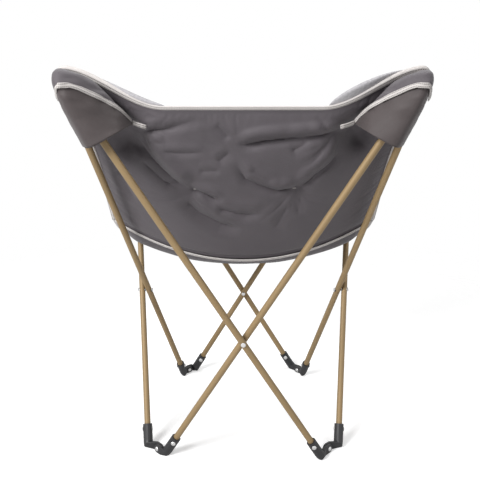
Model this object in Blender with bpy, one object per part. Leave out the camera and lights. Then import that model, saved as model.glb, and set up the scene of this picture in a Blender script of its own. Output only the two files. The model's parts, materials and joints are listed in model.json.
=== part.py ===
"""Folding butterfly chair: eight crossed tubes on four hinged feet, and a padded sewn cover hung on their tops.

Metres, +Z up. The floor is z = 0, +Y is the way the sitter faces, +X is the sitter's right.
"""

import math

import bmesh
import bpy
from mathutils import Matrix, Vector

# Frame: the foot pins and the lean set the whole linkage
REAR_FOOT_HALF = 0.2017
FRONT_FOOT_HALF = 0.1669
FOOT_HALF_DEPTH = 0.2143
FEET_FORWARD = 0.0626
SIDE_CROSS_OUT = 0.070
LEAN = math.radians(34.8)
FOLD_TRAVEL = math.radians(26.0)
PIN_HEIGHT = 0.0095

# Tubes
TUBE_RADIUS = 0.0075
TUBE_WALL = 0.0012
TUBE_SIDES = 20
REAR_TUBE_LENGTH = 1.005
BACK_SIDE_TUBE_LENGTH = 1.010
FRONT_SIDE_TUBE_LENGTH = 0.7675
FRONT_TUBE_LENGTH = 0.752
CROSS_HALF_GAP = 0.0087
REAR_CROSS_OUT = 0.0097

# Feet: two sockets lapped on one pin
SOCKET_RADIUS = 0.0112
SOCKET_LENGTH = 0.046
SOCKET_FLOOR = 0.006
SOCKET_SIDES = 16
FOOT_REACH = 0.0203
LUG_RADIUS = 0.0100
LUG_THICKNESS = 0.0070
LAP_GAP = 0.0008
RIVET_BELOW_MOUTH = 0.012

# Rivets, washers and caps
PIN_RADIUS = 0.0025
RIVET_RADIUS = 0.0020
HEAD_RADIUS = 0.0055
HEAD_HEIGHT = 0.0018
HEAD_GAP = 0.0003
SWING_HEAD_GAP = 0.0014
RIVET_SIDES = 12
WASHER_RADIUS = 0.0044
WASHER_THICKNESS = 0.0008
CAP_HEIGHT = 0.0025
CAP_PLUG = 0.008
CAP_CLOTH_RISE = 0.004

# Clearances
FIT = 0.0003
SEWN_GAP = 0.0008
PIN_SWING = 0.0006
CROSS_SWING = 0.0031

# Cover: padded back and seat that meet at the sewn crease, and four corner pockets
COVER_THICKNESS = 0.009
POCKET_THICKNESS = 0.0024
BACK_TIP_OFF_END = Vector((0.0126, 0.0149, 0.0199))
BACK_TOP_OFF_END = Vector((0, 0.0029, -0.0541))
CREASE_END_OFF_CROSS = Vector((0.0479, -0.0457, 0.1792))
CREASE_MIDDLE_OFF_CROSS = Vector((0, -0.1057, 0.1082))
SEAT_LOW_OFF_CROSS = Vector((0, 0.0543, 0.0172))
SEAT_SIDE_LOW_OFF_CROSS = Vector((0.0519, 0.0493, 0.1772))
SEAT_SIDE_RISE_OFF_END = Vector((0.0061, -0.0668, -0.0433))
SEAT_TIP_OFF_END = Vector((0.0031, 0.0332, 0.0837))
SEAT_TIP_PAST_FRONT_TUBE = 0.0539
SEAT_FRONT_OVER_CROSS = 0.1865
SEAM_SETBACK = 0.0015
SEAM_WIDTH = 0.011
SEAM_THICKNESS = 0.0016
SEAM_REACH = 0.975
SEAM_STATIONS = 32
EDGE_SHARE = 0.55
BACK_BULGE = 0.016
TACK_ACROSS = 0.33
TACK_UP = 0.50
TACK_DEPTH = 0.013
TACK_SPREAD = 0.034
FOLD_DEPTH = 0.007
FOLD_SPREAD = 0.015

LEFT, RIGHT = -1, 1
UP = Vector((0, 0, 1))


def unit(vector):
    return Vector(vector).normalized()


def mirrored(point):
    return Vector((-point.x, point.y, point.z))


def sided(point, side):
    """A left-hand point on either side."""
    return point.copy() if side == LEFT else mirrored(point)


def flat(vector):
    return Vector((vector.x, vector.y, 0))


# Linkage: pins, crosses and pocket points that stay joined while every tube turns by the same angle
REAR_PIN = Vector((-REAR_FOOT_HALF, FEET_FORWARD - FOOT_HALF_DEPTH, 0))
FRONT_PIN = Vector((-FRONT_FOOT_HALF, FEET_FORWARD + FOOT_HALF_DEPTH, 0))
ALONG_SIDE = unit(FRONT_PIN - REAR_PIN)
OUT_OF_SIDE = Vector((-ALONG_SIDE.y, ALONG_SIDE.x, 0))
SIDE_CROSS = (REAR_PIN + FRONT_PIN) / 2 + OUT_OF_SIDE * SIDE_CROSS_OUT


def corner_over(pin, other_pin):
    """Plan point on the line from pin through the side cross that lies as far from other_pin as from pin."""
    span = pin - other_pin
    reach = SIDE_CROSS - pin
    return pin - reach * span.length_squared / (2 * span.dot(reach))


def raised(point, run):
    """The plan point at the height that the lean gives over this run."""
    return Vector((point.x, point.y, PIN_HEIGHT + run / math.tan(LEAN)))


REAR_CORNER = corner_over(FRONT_PIN, mirrored(REAR_PIN))
FRONT_CORNER = corner_over(REAR_PIN, mirrored(FRONT_PIN))


def middle_cross(pin, corner):
    """Where the line from the far pin to this corner passes the middle."""
    far = mirrored(pin)
    share = far.x / (far.x - corner.x)
    point = far.lerp(corner, share)
    return raised(point, (point - far).length)


CROSS = {
    "rear": middle_cross(REAR_PIN, REAR_CORNER),
    "front": middle_cross(FRONT_PIN, FRONT_CORNER),
    "left": raised(SIDE_CROSS, (SIDE_CROSS - REAR_PIN).length),
}
CROSS["right"] = mirrored(CROSS["left"])
PIN = {"rear_left": raised(REAR_PIN, 0), "front_left": raised(FRONT_PIN, 0)}
PIN["rear_right"] = mirrored(PIN["rear_left"])
PIN["front_right"] = mirrored(PIN["front_left"])
CORNER = {
    "rear_left": raised(REAR_CORNER, (REAR_CORNER - FRONT_PIN).length),
    "front_left": raised(FRONT_CORNER, (FRONT_CORNER - REAR_PIN).length),
}
CORNER["rear_right"] = mirrored(CORNER["rear_left"])
CORNER["front_right"] = mirrored(CORNER["front_left"])

# Each tube: its foot, its cross, which way it lies from the cross, its length and the pocket it ends in
OUTWARD = {"rear": Vector((0, -1, 0)), "front": Vector((0, 1, 0))}
OUTWARD["left"] = OUT_OF_SIDE
OUTWARD["right"] = mirrored(OUT_OF_SIDE)
TUBES = {
    "rear_tube_left": ("rear_left", "rear", -1, REAR_TUBE_LENGTH, "rear_right"),
    "rear_tube_right": ("rear_right", "rear", 1, REAR_TUBE_LENGTH, "rear_left"),
    "left_tube_rear": ("rear_left", "left", 1, FRONT_SIDE_TUBE_LENGTH, "front_left"),
    "left_tube_front": ("front_left", "left", -1, BACK_SIDE_TUBE_LENGTH, "rear_left"),
    "right_tube_rear": ("rear_right", "right", 1, FRONT_SIDE_TUBE_LENGTH, "front_right"),
    "right_tube_front": ("front_right", "right", -1, BACK_SIDE_TUBE_LENGTH, "rear_right"),
    "front_tube_left": ("front_left", "front", -1, FRONT_TUBE_LENGTH, "front_right"),
    "front_tube_right": ("front_right", "front", 1, FRONT_TUBE_LENGTH, "front_left"),
}
SIDE_CROSSES = ("left", "right")
# The rear pair crosses further out, so that folded it passes outside the ends of the side tubes
CROSS_OUT = {"rear": REAR_CROSS_OUT, "front": 0.0, "left": 0.0, "right": 0.0}


def swing_axis(tube):
    """Level axis that a positive turn uses to bring the tube upright."""
    foot, cross, _, _, _ = TUBES[tube]
    return unit(flat(CROSS[cross] - PIN[foot]).cross(UP))


def elbow(tube):
    """Where the tube's axis reaches the foot."""
    foot, cross, layer, _, _ = TUBES[tube]
    pin = PIN[foot]
    out = Vector((math.copysign(FOOT_REACH, pin.x), math.copysign(FOOT_REACH, pin.y - FEET_FORWARD), 0))
    reach = Vector((out.x, -out.y, 0)) if cross in SIDE_CROSSES else Vector((-out.x, out.y, 0))
    return pin + reach + OUTWARD[cross] * layer * CROSS_HALF_GAP


def tube_direction(tube):
    _, cross, layer, _, _ = TUBES[tube]
    return unit(CROSS[cross] + OUTWARD[cross] * (layer * CROSS_HALF_GAP + CROSS_OUT[cross]) - elbow(tube))


def tube_end(tube):
    return elbow(tube) + tube_direction(tube) * TUBES[tube][3]


def pin_axis(foot):
    """Outward axis on which one tube of a foot turns against the other over the whole fold."""
    first, second = [name for name in TUBES if TUBES[name][0] == foot]
    turn_first = Matrix.Rotation(FOLD_TRAVEL, 3, swing_axis(first))
    turn_second = Matrix.Rotation(FOLD_TRAVEL, 3, swing_axis(second))
    axis, _ = (turn_first.transposed() @ turn_second).to_quaternion().to_axis_angle()
    return axis if axis.dot(PIN[foot] - Vector((0, FEET_FORWARD, 0))) > 0 else -axis


def material(name, colour, roughness, metallic=0.0):
    made = bpy.data.materials.new(name)
    made.use_nodes = True
    shader = made.node_tree.nodes["Principled BSDF"]
    linear = [((c + 0.055) / 1.055) ** 2.4 if c > 0.04045 else c / 12.92 for c in colour]
    shader.inputs["Base Color"].default_value = (*linear, 1)
    shader.inputs["Roughness"].default_value = roughness
    shader.inputs["Metallic"].default_value = metallic
    return made


def turned_to(axis):
    """Rotation that carries +Z to this axis."""
    return UP.rotation_difference(Vector(axis))


def new_object(name, bm, finish, body, location, rotation=None):
    """The mesh as an object under its body's empty, at a world place."""
    mesh = bpy.data.meshes.new(name)
    bmesh.ops.recalc_face_normals(bm, faces=bm.faces)
    bm.to_mesh(mesh)
    bm.free()
    mesh.materials.append(finish)
    made = bpy.data.objects.new(name, mesh)
    bpy.context.scene.collection.objects.link(made)
    made.parent = body
    made.location = Vector(location) - body.location
    if rotation:
        made.rotation_mode = "QUATERNION"
        made.rotation_quaternion = rotation
    return made


def body_empty(name, location):
    made = bpy.data.objects.new("body_" + name, None)
    made.location = location
    bpy.context.scene.collection.objects.link(made)
    return made


def loft(bm, rings, close_ends=True, loop=False):
    """Joins rings of points into a skin, with its ends filled or joined to each other."""
    verts = [[bm.verts.new(point) for point in ring] for ring in rings]
    count = len(rings[0])
    pairs = list(zip(verts, verts[1:]))
    if loop:
        pairs.append((verts[-1], verts[0]))
    for low, high in pairs:
        for i in range(count):
            j = (i + 1) % count
            bm.faces.new((low[i], low[j], high[j], high[i]))
    if close_ends and not loop:
        bm.faces.new(verts[0])
        bm.faces.new(reversed(verts[-1]))
    return bm


def circle(radius, height, sides):
    angles = [2 * math.pi * i / sides for i in range(sides)]
    return [Vector((radius * math.cos(a), radius * math.sin(a), height)) for a in angles]


def turned(profile, sides, loop=False):
    """A solid of revolution about Z from (radius, height) pairs."""
    return loft(bmesh.new(), [circle(r, z, sides) for r, z in profile], loop=loop)


def cutter(name, bm, location, rotation=None):
    made = new_object(name, bm, bpy.data.materials["cutter"], bpy.data.objects["cutters"], location, rotation)
    made.hide_render = True
    made.display_type = "WIRE"
    return made


def cut(target, tool):
    step = target.modifiers.new("cut_" + tool.name, "BOOLEAN")
    step.operation = "DIFFERENCE"
    step.solver = "EXACT"
    step.object = tool


def drill(target, point, axis, radius, depth):
    """A round hole through the point, depth long to each side."""
    bm = turned([(radius, -depth), (radius, depth)], RIVET_SIDES)
    cut(target, cutter(target.name + "_hole", bm, point, turned_to(axis)))


def rivet_profile(shank, half, head_gap, head_height=HEAD_HEIGHT):
    """Two domed heads on a shank that spans 2 * half between what it holds."""
    seat = half + head_gap
    top = [(HEAD_RADIUS, seat), (HEAD_RADIUS * 0.82, seat + head_height * 0.6), (HEAD_RADIUS * 0.4, seat + head_height)]
    bottom = [(r, -z) for r, z in reversed(top)]
    return bottom + [(shank, -seat), (shank, seat)] + top


def make_tube(tube, body, finishes):
    foot, cross, layer, length, _ = TUBES[tube]
    direction = tube_direction(tube)
    start = elbow(tube) + direction * (SOCKET_FLOOR + FIT)
    outer, inner = TUBE_RADIUS, TUBE_RADIUS - TUBE_WALL
    end = length - SOCKET_FLOOR - FIT
    bm = turned([(outer, 0), (outer, end), (inner, end), (inner, 0)], TUBE_SIDES, loop=True)
    made = new_object(tube, bm, finishes["paint"], body, start, turned_to(direction))
    swing = CROSS_SWING if cross != "front" else PIN_SWING
    drill(made, CROSS[cross], OUTWARD[cross], RIVET_RADIUS + swing, 0.03)
    drill(made, socket_rivet_point(tube), socket_rivet_axis(tube), RIVET_RADIUS + FIT / 2, 0.02)


def make_cap(tube, body, finishes):
    direction = tube_direction(tube)
    bore = TUBE_RADIUS - TUBE_WALL
    profile = [(bore - FIT, -CAP_PLUG), (bore - FIT, FIT), (TUBE_RADIUS, FIT), (TUBE_RADIUS, CAP_HEIGHT * 0.6)]
    profile.append((TUBE_RADIUS * 0.7, CAP_HEIGHT))
    point = tube_end(tube)
    new_object(tube + "_cap", turned(profile, RIVET_SIDES), finishes["plastic"], body, point, turned_to(direction))


def socket_rivet_point(tube):
    return elbow(tube) + tube_direction(tube) * (SOCKET_LENGTH - RIVET_BELOW_MOUTH)


def socket_rivet_axis(tube):
    """Square to the tube, towards the outside of its cross."""
    direction, outward = tube_direction(tube), OUTWARD[TUBES[tube][1]]
    return unit(outward - direction * outward.dot(direction))


def make_socket_rivet(tube, body, finishes):
    bm = turned(rivet_profile(RIVET_RADIUS, SOCKET_RADIUS, HEAD_GAP, HEAD_HEIGHT * 0.8), RIVET_SIDES)
    place = socket_rivet_point(tube)
    new_object(tube + "_rivet", bm, finishes["steel"], body, place, turned_to(socket_rivet_axis(tube)))


def section(centre, along, thick_axis, half_width, half_thick, square):
    """A ring round centre: a circle when square is 0, a chamfered bar when it is 1."""
    thick = unit(thick_axis - along * thick_axis.dot(along))
    wide = thick.cross(along)
    gain = 1 + 0.3 * square
    ring = []
    for i in range(SOCKET_SIDES):
        a = 2 * math.pi * (i + 0.5) / SOCKET_SIDES
        w = max(-1, min(1, gain * math.cos(a)))
        t = max(-1, min(1, gain * math.sin(a)))
        ring.append(centre + wide * w * half_width + thick * t * half_thick)
    return ring


def make_socket(tube, body, finishes):
    """One half of a foot: a socket that bends into a lug lapped on the foot pin."""
    foot, cross, _, _, _ = TUBES[tube]
    pin, axis = PIN[foot], pin_axis(foot)
    layer = 1 if cross in OUTER_LUGS else -1
    bend, direction = elbow(tube), tube_direction(tube)
    end = pin + axis * layer * (LUG_THICKNESS + LAP_GAP) / 2
    along = unit(end - bend)
    along = unit(along - axis * along.dot(axis))
    down = -direction
    turn = unit(down + along)
    rings = [section(bend - down * SOCKET_LENGTH, down, axis, SOCKET_RADIUS, SOCKET_RADIUS, 0)]
    rings.append(section(bend - down * 0.014, down, axis, SOCKET_RADIUS, SOCKET_RADIUS, 0))
    rings.append(section(bend - down * 0.005, unit(down * 2 + turn), axis, SOCKET_RADIUS, SOCKET_RADIUS, 0))
    rings.append(section(bend + turn * 0.002, turn, axis, SOCKET_RADIUS, SOCKET_RADIUS * 0.95, 0.3))
    lug_start = end - along * (LUG_RADIUS + 0.0035)
    rings.append(section(lug_start, along, axis, LUG_RADIUS, LUG_THICKNESS / 2, 1))
    for reach, width in ((0.0, 1.0), (0.55, 0.84), (0.86, 0.51), (1.0, 0.18)):
        centre = end + along * LUG_RADIUS * reach
        rings.append(section(centre, along, axis, LUG_RADIUS * width, LUG_THICKNESS / 2, 1))
    bm = loft(bmesh.new(), [[point - pin for point in ring] for ring in rings])
    made = new_object(tube + "_socket", bm, finishes["plastic"], body, pin)
    bore = turned([(TUBE_RADIUS + FIT, 0), (TUBE_RADIUS + FIT, SOCKET_LENGTH)], TUBE_SIDES)
    cut(made, cutter(tube + "_bore", bore, bend + direction * SOCKET_FLOOR, turned_to(direction)))
    drill(made, socket_rivet_point(tube), socket_rivet_axis(tube), RIVET_RADIUS + FIT / 2, 0.02)
    drill(made, pin, axis, PIN_RADIUS + PIN_SWING, 0.02)
    cut(made, bpy.data.objects["floor_cutter"])


OUTER_LUGS = ("rear", "front")


def make_foot_pin(foot, body, finishes):
    half = LUG_THICKNESS + LAP_GAP / 2
    bm = turned(rivet_profile(PIN_RADIUS, half, HEAD_GAP), RIVET_SIDES)
    new_object("foot_pin_" + foot, bm, finishes["steel"], body, PIN[foot], turned_to(pin_axis(foot)))


def make_cross(cross, body, finishes):
    half = CROSS_HALF_GAP + TUBE_RADIUS
    gap = SWING_HEAD_GAP if cross != "front" else HEAD_GAP
    bm = turned(rivet_profile(RIVET_RADIUS, half, gap), RIVET_SIDES)
    turn = turned_to(OUTWARD[cross])
    place = CROSS[cross] + OUTWARD[cross] * CROSS_OUT[cross]
    new_object("cross_rivet_" + cross, bm, finishes["steel"], body, place, turn)
    inner, half_thick = RIVET_RADIUS + FIT, WASHER_THICKNESS / 2
    profile = [(WASHER_RADIUS, -half_thick), (WASHER_RADIUS, half_thick), (inner, half_thick), (inner, -half_thick)]
    ring = turned(profile, RIVET_SIDES, loop=True)
    new_object("cross_washer_" + cross, ring, finishes["plastic"], body, place, turn)


def over_middle(point):
    return Vector((0, point.y, point.z))


# The cover hangs from the tube ends and lies over the side crosses: right-hand points
REAR_END = tube_end("right_tube_front")
SEAT_END = tube_end("right_tube_rear")
FRONT_END = tube_end("front_tube_left")
BACK_TIP = REAR_END + BACK_TIP_OFF_END
BACK_TOP_MIDDLE = over_middle(REAR_END) + BACK_TOP_OFF_END
CREASE_END = CROSS["right"] + CREASE_END_OFF_CROSS
CREASE_MIDDLE = over_middle(CROSS["right"]) + CREASE_MIDDLE_OFF_CROSS
SEAT_LOW = over_middle(CROSS["right"]) + SEAT_LOW_OFF_CROSS
SEAT_SIDE_LOW = CROSS["right"] + SEAT_SIDE_LOW_OFF_CROSS
SEAT_SIDE_RISE = SEAT_END + SEAT_SIDE_RISE_OFF_END
SEAT_TIP = SEAT_END + SEAT_TIP_OFF_END
SEAT_TIP.x = max(SEAT_TIP.x, FRONT_END.x + SEAT_TIP_PAST_FRONT_TUBE)
SEAT_TIP.z = max(SEAT_TIP.z, FRONT_END.z + SEAT_TIP_OFF_END.z)
SEAT_FRONT_MIDDLE = Vector((0, SEAT_TIP.y, CROSS["front"].z + SEAT_FRONT_OVER_CROSS))


def smooth(share):
    share = max(0.0, min(1.0, share))
    return share * share * (3 - 2 * share)


def fold_line(x, z, start, end, spread):
    """How deep a soft valley from start to end lies at a point, from 0 to 1."""
    run = Vector(end) - Vector(start)
    point = Vector((x, z)) - Vector(start)
    along = point.dot(run) / run.length_squared
    aside = abs(point.x * run.y - point.y * run.x) / run.length
    return math.exp(-((aside / spread) ** 2)) * smooth((along + 0.15) / 0.3) * smooth((1.1 - along) / 0.6)


def back_folds(point, across):
    """Backward push of the tacked points and of the folds that run from them."""
    x, z = abs(point.x), point.z
    tack = Vector((BACK_TIP.x * TACK_ACROSS * 0.95, BACK_TOP_MIDDLE.z * TACK_UP + CREASE_MIDDLE.z * (1 - TACK_UP)))
    away = (Vector((x, z)) - tack).length
    push = -TACK_DEPTH * math.exp(-((away / TACK_SPREAD) ** 2))
    wing = tack + Vector((0.105, 0.085))
    middle = Vector((0.012, tack.y - 0.036))
    push -= FOLD_DEPTH * fold_line(x, z, tack, wing, FOLD_SPREAD)
    push -= FOLD_DEPTH * 0.8 * fold_line(x, z, tack, middle, FOLD_SPREAD)
    return push


def back_point(across, up):
    """The middle of the back's padding: across runs -1 to 1, up runs from the crease to the top edge."""
    side = abs(across)
    low = side**1.8
    high = smooth((side - 0.42) / 0.55)
    share = low + (high - low) * smooth(up)
    middle = CREASE_MIDDLE.lerp(BACK_TOP_MIDDLE, up)
    edge = CREASE_END.lerp(BACK_TIP, up)
    edge.x -= 0.012 * math.sin(math.pi * up)
    point = Vector((edge.x * across, middle.y + (edge.y - middle.y) * share, middle.z + (edge.z - middle.z) * share))
    point.y -= BACK_BULGE * math.sin(math.pi * up) * (1 - side**2)
    point.y -= back_folds(point, across)
    return point


def curve3(start, handle, end, share):
    """A curve that passes near the handle."""
    return start.lerp(handle, share).lerp(handle.lerp(end, share), share)


def seat_point(across, out):
    """The middle of the seat's padding: out runs from the crease to the front edge."""
    side = abs(across)
    low = side**1.8
    high = smooth((side - 0.15) / 0.80)
    share = low + (high - low) * smooth(out)
    middle = curve3(CREASE_MIDDLE, SEAT_LOW, SEAT_FRONT_MIDDLE, out)
    edge = spline([CREASE_END, SEAT_SIDE_LOW, SEAT_SIDE_RISE, SEAT_TIP], out)
    return Vector((edge.x * across, middle.y + (edge.y - middle.y) * share, middle.z + (edge.z - middle.z) * share))


def surface_normal(place, across, along):
    step = 0.004
    du = place(min(1, across + step), along) - place(max(-1, across - step), along)
    dv = place(across, min(1, along + step)) - place(across, max(0, along - step))
    return unit(du.cross(dv))


def half_padding(across, along):
    """Half the padding's thickness, thinner along the bound edges."""
    rim = min(1 - abs(across), along, 1 - along)
    return COVER_THICKNESS / 2 * (EDGE_SHARE + (1 - EDGE_SHARE) * smooth(rim / 0.12))


def padded_sheet(name, place, columns, rows, body, finish):
    """A sheet of padding round place(across, along), set back from the crease by its seam."""
    setback = SEAM_SETBACK / (place(0, 1) - place(0, 0)).length
    bm = bmesh.new()
    faces = {}
    for i in range(columns + 1):
        across = -1 + 2 * i / columns
        for j in range(rows + 1):
            along = setback + (1 - setback) * j / rows
            out = surface_normal(place, across, along) * half_padding(across, along)
            point = place(across, along) - body.location
            faces[i, j] = (bm.verts.new(point + out), bm.verts.new(point - out))
    for i in range(columns):
        for j in range(rows):
            for layer in (0, 1):
                corners = [faces[i, j], faces[i + 1, j], faces[i + 1, j + 1], faces[i, j + 1]]
                bm.faces.new([pair[layer] for pair in corners])
    border = [(i, 0) for i in range(columns)] + [(columns, j) for j in range(rows)]
    border += [(i, rows) for i in range(columns, 0, -1)] + [(0, j) for j in range(rows, 0, -1)]
    for here, after in zip(border, border[1:] + border[:1]):
        bm.faces.new((faces[here][0], faces[after][0], faces[after][1], faces[here][1]))
    return new_object(name, bm, finish, body, body.location)


def make_crease_seam(body, finish):
    """The bound seam of back and seat: a tape along the outside of the crease, just clear of both edges."""
    step = 0.02
    half = COVER_THICKNESS / 2 * EDGE_SHARE
    rings = []
    for i in range(SEAM_STATIONS + 1):
        across = SEAM_REACH * (2 * i / SEAM_STATIONS - 1)
        crease = back_point(across, 0)
        along = unit(back_point(across + step, 0) - back_point(across - step, 0))
        up, out = back_point(across, step) - crease, seat_point(across, step) - crease
        up = unit(up - along * up.dot(along))
        out = unit(out - along * out.dot(along))
        inward = unit(up + out)
        wide = unit(out - up) * SEAM_WIDTH / 2
        bend = up.angle(out) / 2
        near = half * math.sin(bend) - SEAM_SETBACK * math.cos(bend) + SEWN_GAP
        low, high = crease - inward * near, crease - inward * (near + SEAM_THICKNESS)
        rings.append([point - body.location for point in (low - wide, low + wide, high + wide, high - wide)])
    return new_object("crease_seam", loft(bmesh.new(), rings), finish, body, body.location)


def spline(points, share):
    """A smooth curve through the points."""
    spans = len(points) - 1
    k = min(int(share * spans), spans - 1)
    t = share * spans - k
    before, start = points[max(k - 1, 0)], points[k]
    end, after = points[k + 1], points[min(k + 2, spans)]
    return start + ((end - before) * t + (before * 2 - start * 5 + end * 4 - after) * t**2
                    + (start * 3 - before - end * 3 + after) * t**3) * 0.5


def make_pocket(corner, side, columns, body, finish):
    """A sewn corner pocket: from the cover's edge over the tube ends, then down to its open hem."""
    bm = bmesh.new()
    wide, deep = 16, 6
    pairs = {}
    lines = [[sided(point, side) for point in line] for line in columns]
    grid = {}
    for i in range(wide + 1):
        column = [spline(line, i / wide) for line in lines]
        for j in range(deep + 1):
            grid[i, j] = spline(column, j / deep)
    for (i, j), point in grid.items():
        du = grid[min(i + 1, wide), j] - grid[max(i - 1, 0), j]
        dv = grid[i, min(j + 1, deep)] - grid[i, max(j - 1, 0)]
        normal = unit(du.cross(dv)) * POCKET_THICKNESS / 2
        local = point - body.location
        pairs[i, j] = (bm.verts.new(local + normal), bm.verts.new(local - normal))
    for i in range(wide):
        for j in range(deep):
            for layer in (0, 1):
                corners = [pairs[i, j], pairs[i + 1, j], pairs[i + 1, j + 1], pairs[i, j + 1]]
                bm.faces.new([pair[layer] for pair in corners])
    border = [(i, 0) for i in range(wide)] + [(wide, j) for j in range(deep)]
    border += [(i, deep) for i in range(wide, 0, -1)] + [(0, j) for j in range(deep, 0, -1)]
    for here, after in zip(border, border[1:] + border[:1]):
        bm.faces.new((pairs[here][0], pairs[after][0], pairs[after][1], pairs[here][1]))
    new_object("pocket_" + corner, bm, finish, body, body.location)


def off_cover(place, across, along, outward):
    """A point on the outer face of the cover, clear of it by a pocket's half thickness."""
    normal = surface_normal(place, across, along)
    if normal.dot(outward) < 0:
        normal = -normal
    return place(across, along) + normal * (half_padding(across, along) + POCKET_THICKNESS / 2 + SEWN_GAP)


def beside_cap(tube):
    """Where cloth drawn over this tube's cap has its middle, at the tube's outer side."""
    end = tube_end(tube)
    outward = flat(end - CROSS["rear"])
    outward.y = 0
    return end + unit(outward) * (TUBE_RADIUS + POCKET_THICKNESS / 2 + FIT) + UP * CAP_CLOTH_RISE


def rear_pocket_lines():
    """Rim, crown, trim and hem of the left rear pocket, from the side edge round the tip to its tail."""
    back = Vector((0, -1, 0.2))
    rim = [off_cover(back_point, a, u, back) for a, u in ((-0.99, 0.66), (-0.99, 0.985), (-0.80, 0.985))]
    rim += [off_cover(back_point, a, u, back) for a, u in ((-0.68, 0.985), (-0.56, 0.985))]
    tail = off_cover(back_point, -0.63, 0.84, back)
    side_end, rear_end = tube_end("left_tube_front"), tube_end("rear_tube_right")
    crown = [side_end + Vector((0.0034, 0.0441, -0.1081)), beside_cap("left_tube_front")]
    crown += [rear_end + Vector((0.0317, 0.0050, 0.0133)), rear_end + Vector((0.0947, 0.0080, -0.0227))]
    crown.append(off_cover(back_point, -0.60, 0.91, back))
    trim = [side_end + Vector((0.0064, 0.0349, -0.1101)), rear_end + Vector((-0.0160, -0.0120, -0.0187))]
    trim += [rear_end + Vector((0.0257, -0.0190, -0.0097)), rear_end + Vector((0.0870, -0.0100, -0.0501)), tail]
    hem = [side_end + Vector((0.0244, 0.0329, -0.1321)), rear_end + Vector((0.0157, 0.0080, -0.1277))]
    hem += [rear_end + Vector((0.0547, -0.0140, -0.1177)), rear_end + Vector((0.0977, -0.0060, -0.0977))]
    hem.append(off_cover(back_point, -0.635, 0.825, back))
    return [rim, crown, trim, hem]


def front_pocket_lines():
    """Rim, trim and hem of the left front pocket, from the side edge round the tip to the front edge."""
    under = Vector((-0.3, 0.3, -0.9))
    stations = ((-0.99, 0.72), (-0.99, 0.86), (-0.98, 0.985), (-0.84, 0.985), (-0.66, 0.985))
    outs = (Vector((-1, 0, 0)), Vector((-1, 0.1, 0)), Vector((-0.8, 0.7, 0)), Vector((-0.1, 1, 0)), Vector((0, 1, 0)))
    drops = (0.3, 0.9, 1.0, 0.9, 0.3)
    rim = [off_cover(seat_point, across, out, under) for across, out in stations]
    trim = [point + out * 0.012 - UP * 0.034 * drop for point, out, drop in zip(rim, outs, drops)]
    hem = [point + out * 0.008 - UP * 0.090 * drop for point, out, drop in zip(rim, outs, drops)]
    return [rim, trim, hem]


def main():
    for old in list(bpy.data.objects):
        bpy.data.objects.remove(old, do_unlink=True)
    finishes = {
        "paint": material("bronze_paint", (0.70, 0.60, 0.39), 0.38, 0.55),
        "plastic": material("black_plastic", (0.16, 0.16, 0.165), 0.5),
        "steel": material("rivet_steel", (0.86, 0.86, 0.86), 0.28, 1.0),
        "cloth": material("grey_cloth", (0.36, 0.33, 0.335), 0.85),
        "tape": material("pale_tape", (0.76, 0.74, 0.72), 0.8),
    }
    material("cutter", (1, 0, 0), 1.0)
    body_empty("cutters", Vector()).name = "cutters"
    slab = bmesh.new()
    bmesh.ops.create_cube(slab, size=1.0)
    cutter("floor_cutter", slab, Vector((0, 0, -0.5)))

    cover = body_empty("cover", CREASE_MIDDLE)
    seat = body_empty("cover_seat", CREASE_MIDDLE)
    padded_sheet("cover_back", back_point, 24, 18, cover, finishes["cloth"])
    padded_sheet("cover_seat", seat_point, 22, 18, seat, finishes["cloth"])
    make_crease_seam(body_empty("crease", CREASE_MIDDLE), finishes["tape"])
    pocket_bodies = {corner: body_empty("pocket_" + corner, CORNER[corner]) for corner in CORNER}
    for side, name in ((LEFT, "left"), (RIGHT, "right")):
        make_pocket("rear_" + name, side, rear_pocket_lines(), pocket_bodies["rear_" + name], finishes["cloth"])
        make_pocket("front_" + name, side, front_pocket_lines(), pocket_bodies["front_" + name], finishes["cloth"])

    tube_bodies = {}
    for tube in TUBES:
        body = body_empty(tube, CROSS[TUBES[tube][1]])
        tube_bodies[tube] = body
        make_tube(tube, body, finishes)
        make_socket(tube, body, finishes)
        make_socket_rivet(tube, body, finishes)
        make_cap(tube, body, finishes)
    for foot in PIN:
        holder = next(tube for tube in TUBES if TUBES[tube][0] == foot and TUBES[tube][1] in OUTER_LUGS)
        make_foot_pin(foot, tube_bodies[holder], finishes)
    for cross in CROSS:
        body = tube_bodies["front_tube_left"] if cross == "front" else body_empty("cross_" + cross, CROSS[cross])
        make_cross(cross, body, finishes)


main()
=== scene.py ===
"""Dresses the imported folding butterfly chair: padded cover, pockets, tapes, finishes and a plain stage."""
import json
import math

import bmesh
import bpy
from bpy.props import FloatProperty, FloatVectorProperty, PointerProperty
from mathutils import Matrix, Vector, noise


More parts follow.
